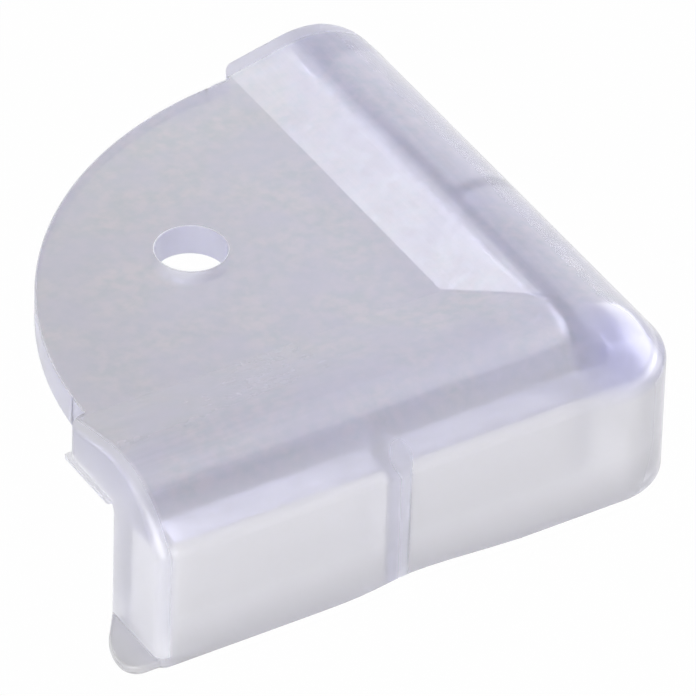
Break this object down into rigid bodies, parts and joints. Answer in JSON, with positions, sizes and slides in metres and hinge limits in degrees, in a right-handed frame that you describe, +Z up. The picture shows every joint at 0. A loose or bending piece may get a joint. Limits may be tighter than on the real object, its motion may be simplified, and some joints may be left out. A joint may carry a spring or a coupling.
{
  "type": "furniture corner protector",
  "caption": "Clear soft plastic corner protector for furniture: a quarter-round screw plate with a crowned hollow bumper along both outer sides of the corner.",
  "frame": {"origin": "centre of the bounding box in plan, at the lowest edge of the bumper's walls", "axes": "+Z up through the screw plate; the bumper's outer corner is at +X, -Y, its two arms run along -X and +Y, and the part is symmetrical about the vertical plane x = -y"},
  "size_m": [0.0442, 0.0442, 0.0136],
  "materials": {
    "clear_plastic": "clear, slightly milky soft plastic with a satin gloss"
  },
  "bodies": {
    "root": {"corner_protector": "clear_plastic"}
  },
  "joints": []
}
